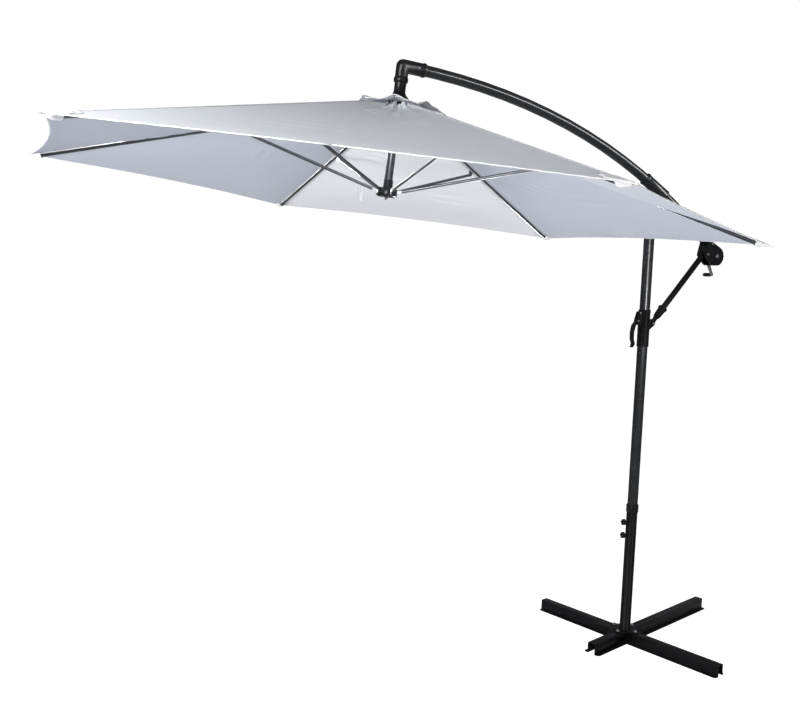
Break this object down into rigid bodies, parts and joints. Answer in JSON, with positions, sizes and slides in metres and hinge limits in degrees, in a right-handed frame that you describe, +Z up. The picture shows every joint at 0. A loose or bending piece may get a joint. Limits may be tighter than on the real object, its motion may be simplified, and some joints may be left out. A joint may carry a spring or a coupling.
{
  "type": "cantilever parasol",
  "caption": "Cantilever garden parasol: curved arm on a swivel mast and cross base, ribbed hexagonal canopy hung from the arm's end, with crank, brace and sliding tilt collar.",
  "frame": {"origin": "on the mast's axis at ground level, in the middle of the cross base", "axes": "+Z up along the mast, -X from the mast towards the canopy, +X towards the crank, -Y towards the viewer's side of the parasol"},
  "size_m": [3.3137, 2.9961, 2.5495],
  "materials": {
    "frame_black": "anthracite powder coat, semi-gloss with a fine texture",
    "moulded_black": "glass-filled nylon, fine moulded grain",
    "rib_grey": "dark grey metallic lacquer on steel tube",
    "bolt_steel": "bright zinc plate",
    "cord_white": "braided polyester cord",
    "canopy_fabric": "plain-woven polyester, very light grey, slightly translucent, with white piping and pockets"
  },
  "bodies": {
    "base": {"base_leg_long": "frame_black", "base_leg_cross": "frame_black", "mast_foot": "frame_black", "base_bolt_right": "bolt_steel", "base_bolt_rear": "bolt_steel", "base_bolt_left": "bolt_steel", "base_bolt_front": "bolt_steel", "mast_collar": "moulded_black"},
    "upper_knob": {"clamp_knob_upper": "moulded_black"},
    "lower_knob": {"clamp_knob_lower": "moulded_black"},
    "mast": {"upper_mast_tube": "frame_black", "mast_top_bracket": "frame_black", "arm_pivot_bolt": "bolt_steel"},
    "arm": {"arm_sleeve": "frame_black", "arm_tube": "frame_black", "crank_housing_front": "moulded_black", "crank_housing_rear": "moulded_black", "housing_rivet": "bolt_steel", "brace_pin_upper": "bolt_steel", "arm_elbow": "moulded_black", "elbow_screw": "bolt_steel", "centre_tube": "rib_grey", "hub_bell": "moulded_black", "upper_hub": "moulded_black", "upper_hub_wire": "bolt_steel", "lift_cord": "cord_white", "vent_cap": "canopy_fabric"},
    "crank": {"cord_spool": "moulded_black", "crank_shaft": "bolt_steel", "crank_arm": "bolt_steel"},
    "grip": {"crank_grip": "moulded_black"},
    "brace": {"brace_knuckle": "moulded_black", "brace_tube": "frame_black", "brace_socket": "moulded_black"},
    "slider": {"mast_slider": "moulded_black", "slider_bolt": "bolt_steel", "lever_pin": "bolt_steel", "brace_pin_lower": "bolt_steel"},
    "lever": {"slider_lever": "moulded_black"},
    "runner_group": {"runner": "moulded_black", "runner_wire": "bolt_steel", "cord_knot": "cord_white"},
    "rib_group_mast_rear": {"rib_mast_rear": "rib_grey", "gore_mast_rear": "canopy_fabric"},
    "strut_group_mast_rear": {"strut_mast_rear": "rib_grey"},
    "rib_group_rear": {"rib_rear": "rib_grey", "gore_rear": "canopy_fabric"},
    "strut_group_rear": {"strut_rear": "rib_grey"},
    "rib_group_far_rear": {"rib_far_rear": "rib_grey", "gore_far_rear": "canopy_fabric"},
    "strut_group_far_rear": {"strut_far_rear": "rib_grey"},
    "rib_group_far_front": {"rib_far_front": "rib_grey", "gore_far_front": "canopy_fabric"},
    "strut_group_far_front": {"strut_far_front": "rib_grey"},
    "rib_group_front": {"rib_front": "rib_grey", "gore_front": "canopy_fabric"},
    "strut_group_front": {"strut_front": "rib_grey"},
    "rib_group_mast_front": {"rib_mast_front": "rib_grey", "gore_mast_front": "canopy_fabric"},
    "strut_group_mast_front": {"strut_mast_front": "rib_grey"}
  },
  "joints": [
    {"name": "mast_swivel", "type": "hinge", "parent": "base", "child": "mast", "pos_m": [0, 0, 0.63], "axis": [0, 0, 1], "range_deg": [-180, 180]},
    {"name": "upper_knob_turn", "type": "hinge", "parent": "base", "child": "upper_knob", "pos_m": [-0.045, 0, 0.58], "axis": [-1, 0, 0], "range_deg": [-720, 0]},
    {"name": "lower_knob_turn", "type": "hinge", "parent": "base", "child": "lower_knob", "pos_m": [-0.045, 0, 0.517], "axis": [-1, 0, 0], "range_deg": [-720, 0]},
    {"name": "arm_tilt", "type": "hinge", "parent": "mast", "child": "arm", "pos_m": [0.015, 0, 2.104], "axis": [0, 1, 0], "range_deg": [-3, 12], "stiffness_Nm_per_rad": 4000, "springref_deg": 2.6},
    {"name": "brace_swing", "type": "hinge", "parent": "arm", "child": "brace", "pos_m": [0.338, 0, 1.866], "axis": [0, 1, 0], "range_deg": [-21.5, 5.8]},
    {"name": "slider_travel", "type": "hinge", "parent": "brace", "child": "slider", "pos_m": [0.045, 0, 1.528], "axis": [0, 1, 0], "range_deg": [-2.6, 9.3]},
    {"name": "lever_lift", "type": "hinge", "parent": "slider", "child": "lever", "pos_m": [-0.043, 0, 1.538], "axis": [0, 1, 0], "range_deg": [0, 40]},
    {"name": "crank_turn", "type": "hinge", "parent": "arm", "child": "crank", "pos_m": [0.393, 0, 1.86], "axis": [0, 1, 0], "range_deg": [-2160, 0]},
    {"name": "grip_spin", "type": "hinge", "parent": "crank", "child": "grip", "pos_m": [0.4416, 0.07, 1.7726], "axis": [0, 1, 0], "continuous": true},
    {"name": "canopy_fold", "type": "hinge", "parent": "arm", "child": "rib_group_mast_rear", "pos_m": [-1.27067, 0.02709, 2.36618], "axis": [-0.4953, 0.8649, 0.0821], "range_deg": [0, 64], "stiffness_Nm_per_rad": 1500, "springref_deg": -3.41, "deforming": ["gore_mast_rear"]},
    {"name": "strut_fold_mast_rear", "type": "hinge", "parent": "rib_group_mast_rear", "child": "strut_group_mast_rear", "pos_m": [-0.78504, 0.32331, 2.17535], "axis": [-0.4953, 0.8649, 0.0821], "range_deg": [-128, 0]},
    {"name": "runner_lift", "type": "hinge", "parent": "strut_group_mast_rear", "child": "runner_group", "pos_m": [-1.2958, 0.04472, 2.02868], "axis": [-0.4953, 0.8649, 0.0821], "range_deg": [0, 64]},
    {"name": "rib_fold_rear", "type": "hinge", "parent": "arm", "child": "rib_group_rear", "pos_m": [-1.30342, 0.04606, 2.36961], "axis": [-0.9972, 0, 0.0742], "range_deg": [0, 64], "deforming": ["gore_rear"]},
    {"name": "strut_fold_rear", "type": "hinge", "parent": "rib_group_rear", "child": "strut_group_rear", "pos_m": [-1.31376, 0.62968, 2.23072], "axis": [-0.9972, 0, 0.0742], "range_deg": [-128, 0]},
    {"name": "rib_fold_far_rear", "type": "hinge", "parent": "arm", "child": "rib_group_far_rear", "pos_m": [-1.33631, 0.02709, 2.37107], "axis": [-0.502, -0.8649, -0.0078], "range_deg": [0, 64], "deforming": ["gore_far_rear"]},
    {"name": "strut_fold_far_rear", "type": "hinge", "parent": "rib_group_far_rear", "child": "strut_group_far_rear", "pos_m": [-1.84485, 0.32331, 2.25426], "axis": [-0.502, -0.8649, -0.0078], "range_deg": [-128, 0]},
    {"name": "rib_fold_far_front", "type": "hinge", "parent": "arm", "child": "rib_group_far_front", "pos_m": [-1.33646, -0.01086, 2.3691], "axis": [0.4953, -0.8649, -0.0821], "range_deg": [0, 64], "deforming": ["gore_far_front"]},
    {"name": "strut_fold_far_front", "type": "hinge", "parent": "rib_group_far_front", "child": "strut_group_far_front", "pos_m": [-1.84722, -0.28944, 2.22242], "axis": [0.4953, -0.8649, -0.0821], "range_deg": [-128, 0]},
    {"name": "rib_fold_front", "type": "hinge", "parent": "arm", "child": "rib_group_front", "pos_m": [-1.30371, -0.02983, 2.36567], "axis": [0.9972, 0, -0.0742], "range_deg": [0, 64], "deforming": ["gore_front"]},
    {"name": "strut_fold_front", "type": "hinge", "parent": "rib_group_front", "child": "strut_group_front", "pos_m": [-1.3185, -0.59582, 2.16706], "axis": [0.9972, 0, -0.0742], "range_deg": [-128, 0]},
    {"name": "rib_fold_mast_front", "type": "hinge", "parent": "arm", "child": "rib_group_mast_front", "pos_m": [-1.27082, -0.01086, 2.36421], "axis": [0.502, 0.8649, 0.0078], "range_deg": [0, 64], "deforming": ["gore_mast_front"]},
    {"name": "strut_fold_mast_front", "type": "hinge", "parent": "rib_group_mast_front", "child": "strut_group_mast_front", "pos_m": [-0.78741, -0.28944, 2.14352], "axis": [0.502, 0.8649, 0.0078], "range_deg": [-128, 0]}
  ],
  "couplings": [
    {"joint": "brace_swing", "follows": "arm_tilt", "ratio": -1.74},
    {"joint": "slider_travel", "follows": "arm_tilt", "ratio": 0.74},
    {"joint": "strut_fold_mast_rear", "follows": "canopy_fold", "ratio": -2},
    {"joint": "runner_lift", "follows": "canopy_fold", "ratio": 1},
    {"joint": "rib_fold_rear", "follows": "canopy_fold", "ratio": 1},
    {"joint": "strut_fold_rear", "follows": "canopy_fold", "ratio": -2},
    {"joint": "rib_fold_far_rear", "follows": "canopy_fold", "ratio": 1},
    {"joint": "strut_fold_far_rear", "follows": "canopy_fold", "ratio": -2},
    {"joint": "rib_fold_far_front", "follows": "canopy_fold", "ratio": 1},
    {"joint": "strut_fold_far_front", "follows": "canopy_fold", "ratio": -2},
    {"joint": "rib_fold_front", "follows": "canopy_fold", "ratio": 1},
    {"joint": "strut_fold_front", "follows": "canopy_fold", "ratio": -2},
    {"joint": "rib_fold_mast_front", "follows": "canopy_fold", "ratio": 1},
    {"joint": "strut_fold_mast_front", "follows": "canopy_fold", "ratio": -2},
    {"joint": "crank_turn", "follows": "canopy_fold", "ratio": -33.75}
  ]
}
